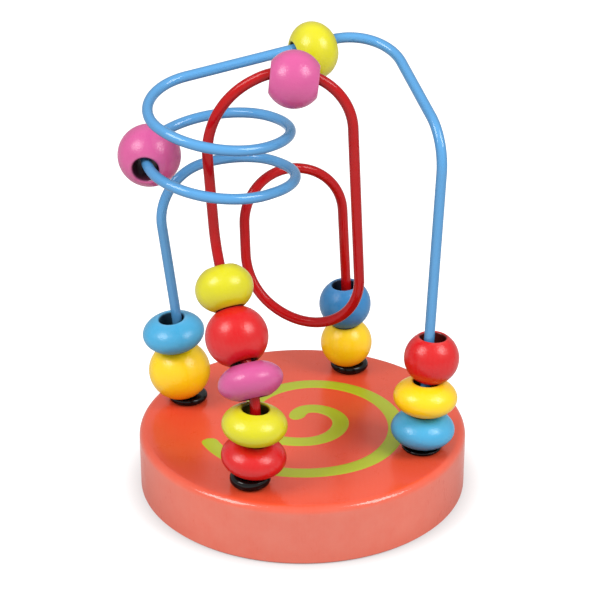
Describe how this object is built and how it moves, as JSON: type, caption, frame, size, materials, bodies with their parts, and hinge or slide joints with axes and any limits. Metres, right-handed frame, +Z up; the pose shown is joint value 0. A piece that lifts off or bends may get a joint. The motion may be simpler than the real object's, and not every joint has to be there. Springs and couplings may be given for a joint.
{
  "type": "bead maze toy",
  "caption": "Round-based toddler bead maze: two bent coated wires, one coiled and one looped, carry loose round and flat wooden beads that slide along them.",
  "frame": {"origin": "centre of the base's flat underside", "axes": "+Z up out of the base, -Y towards the toy's front as pictured, +X to the right seen from the front"},
  "size_m": [0.1136, 0.11, 0.1574],
  "materials": {
    "coral_paint": "satin coral-red paint over turned wood",
    "black_plastic": "glossy black moulded plastic",
    "blue_wire": "glossy blue plastic coating over steel wire",
    "red_wire": "glossy red plastic coating over steel wire",
    "blue_bead": "glossy blue paint over turned wood",
    "red_bead": "glossy red paint over turned wood",
    "lime_bead": "glossy lime-yellow paint over turned wood",
    "pink_bead": "glossy pink paint over turned wood, grain faintly showing",
    "yellow_bead": "glossy warm yellow paint over turned wood"
  },
  "bodies": {
    "maze": {"base": "coral_paint", "left_collar": "black_plastic", "right_collar": "black_plastic", "front_collar": "black_plastic", "back_collar": "black_plastic", "blue_wire": "blue_wire", "red_wire": "red_wire"},
    "left_yellow_round": {"left_yellow_round": "yellow_bead"},
    "left_blue_flat": {"left_blue_flat": "blue_bead"},
    "right_blue_flat": {"right_blue_flat": "blue_bead"},
    "right_yellow_flat": {"right_yellow_flat": "yellow_bead"},
    "right_red_round": {"right_red_round": "red_bead"},
    "front_red_flat": {"front_red_flat": "red_bead"},
    "front_lime_flat": {"front_lime_flat": "lime_bead"},
    "front_pink_flat": {"front_pink_flat": "pink_bead"},
    "front_red_round": {"front_red_round": "red_bead"},
    "front_lime_round": {"front_lime_round": "lime_bead"},
    "back_yellow_round": {"back_yellow_round": "yellow_bead"},
    "back_blue_round": {"back_blue_round": "blue_bead"},
    "coil_pink_round": {"coil_pink_round": "pink_bead"},
    "arch_pink_round": {"arch_pink_round": "pink_bead"},
    "crest_lime_round": {"crest_lime_round": "lime_bead"}
  },
  "joints": [
    {"name": "left_yellow_round_slide", "type": "slide", "parent": "maze", "child": "left_yellow_round", "axis": [-0.1079, -0.0646, 0.9921], "range_m": [0, 0.016]},
    {"name": "left_blue_flat_slide", "type": "slide", "parent": "left_yellow_round", "child": "left_blue_flat", "axis": [-0.1079, -0.0646, 0.9921], "range_m": [0, 0.016]},
    {"name": "right_blue_flat_slide", "type": "slide", "parent": "maze", "child": "right_blue_flat", "axis": [0.0425, 0.046, 0.998], "range_m": [0, 0.018]},
    {"name": "right_yellow_flat_slide", "type": "slide", "parent": "right_blue_flat", "child": "right_yellow_flat", "axis": [0.0425, 0.046, 0.998], "range_m": [0, 0.016]},
    {"name": "right_red_round_slide", "type": "slide", "parent": "right_yellow_flat", "child": "right_red_round", "axis": [0.0425, 0.046, 0.998], "range_m": [0, 0.016]},
    {"name": "back_yellow_round_slide", "type": "slide", "parent": "maze", "child": "back_yellow_round", "axis": [-0.0516, -0.0397, 0.9979], "range_m": [0, 0.013]},
    {"name": "back_blue_round_slide", "type": "slide", "parent": "back_yellow_round", "child": "back_blue_round", "axis": [-0.0516, -0.0397, 0.9979], "range_m": [0, 0.013]},
    {"name": "crest_lime_round_slide", "type": "slide", "parent": "maze", "child": "crest_lime_round", "axis": [-0.9247, -0.3607, -0.122], "range_m": [0, 0.036]},
    {"name": "coil_pink_round_swing", "type": "hinge", "parent": "maze", "child": "coil_pink_round", "pos_m": [-0.02676, -0.00193, 0.11899], "axis": [0, 0.1743, -0.9847], "range_deg": [-32, 45]},
    {"name": "arch_pink_round_swing", "type": "hinge", "parent": "maze", "child": "arch_pink_round", "pos_m": [-0.00438, -0.01231, 0.13112], "axis": [0.0229, 0.9948, 0.0989], "range_deg": [-25, 60]},
    {"name": "front_lime_round_swing", "type": "hinge", "parent": "maze", "child": "front_lime_round", "pos_m": [-0.01756, -0.03986, 0.099], "axis": [0.9346, 0.3498, 0.0646], "range_deg": [0, 18]},
    {"name": "front_red_flat_spin", "type": "hinge", "parent": "maze", "child": "front_red_flat", "pos_m": [-0.01553, -0.03963, 0.03111], "axis": [0.0942, -0.0181, 0.9954], "continuous": true},
    {"name": "front_lime_flat_spin", "type": "hinge", "parent": "maze", "child": "front_lime_flat", "pos_m": [-0.01515, -0.03956, 0.04262], "axis": [0.0625, 0.0377, 0.9973], "continuous": true},
    {"name": "front_pink_flat_spin", "type": "hinge", "parent": "maze", "child": "front_pink_flat", "pos_m": [-0.01637, -0.03537, 0.0559], "axis": [-0.221, 0.5078, 0.8327], "continuous": true},
    {"name": "front_red_round_spin", "type": "hinge", "parent": "maze", "child": "front_red_round", "pos_m": [-0.02084, -0.02567, 0.06666], "axis": [-0.2726, 0.5873, 0.7621], "continuous": true}
  ]
}
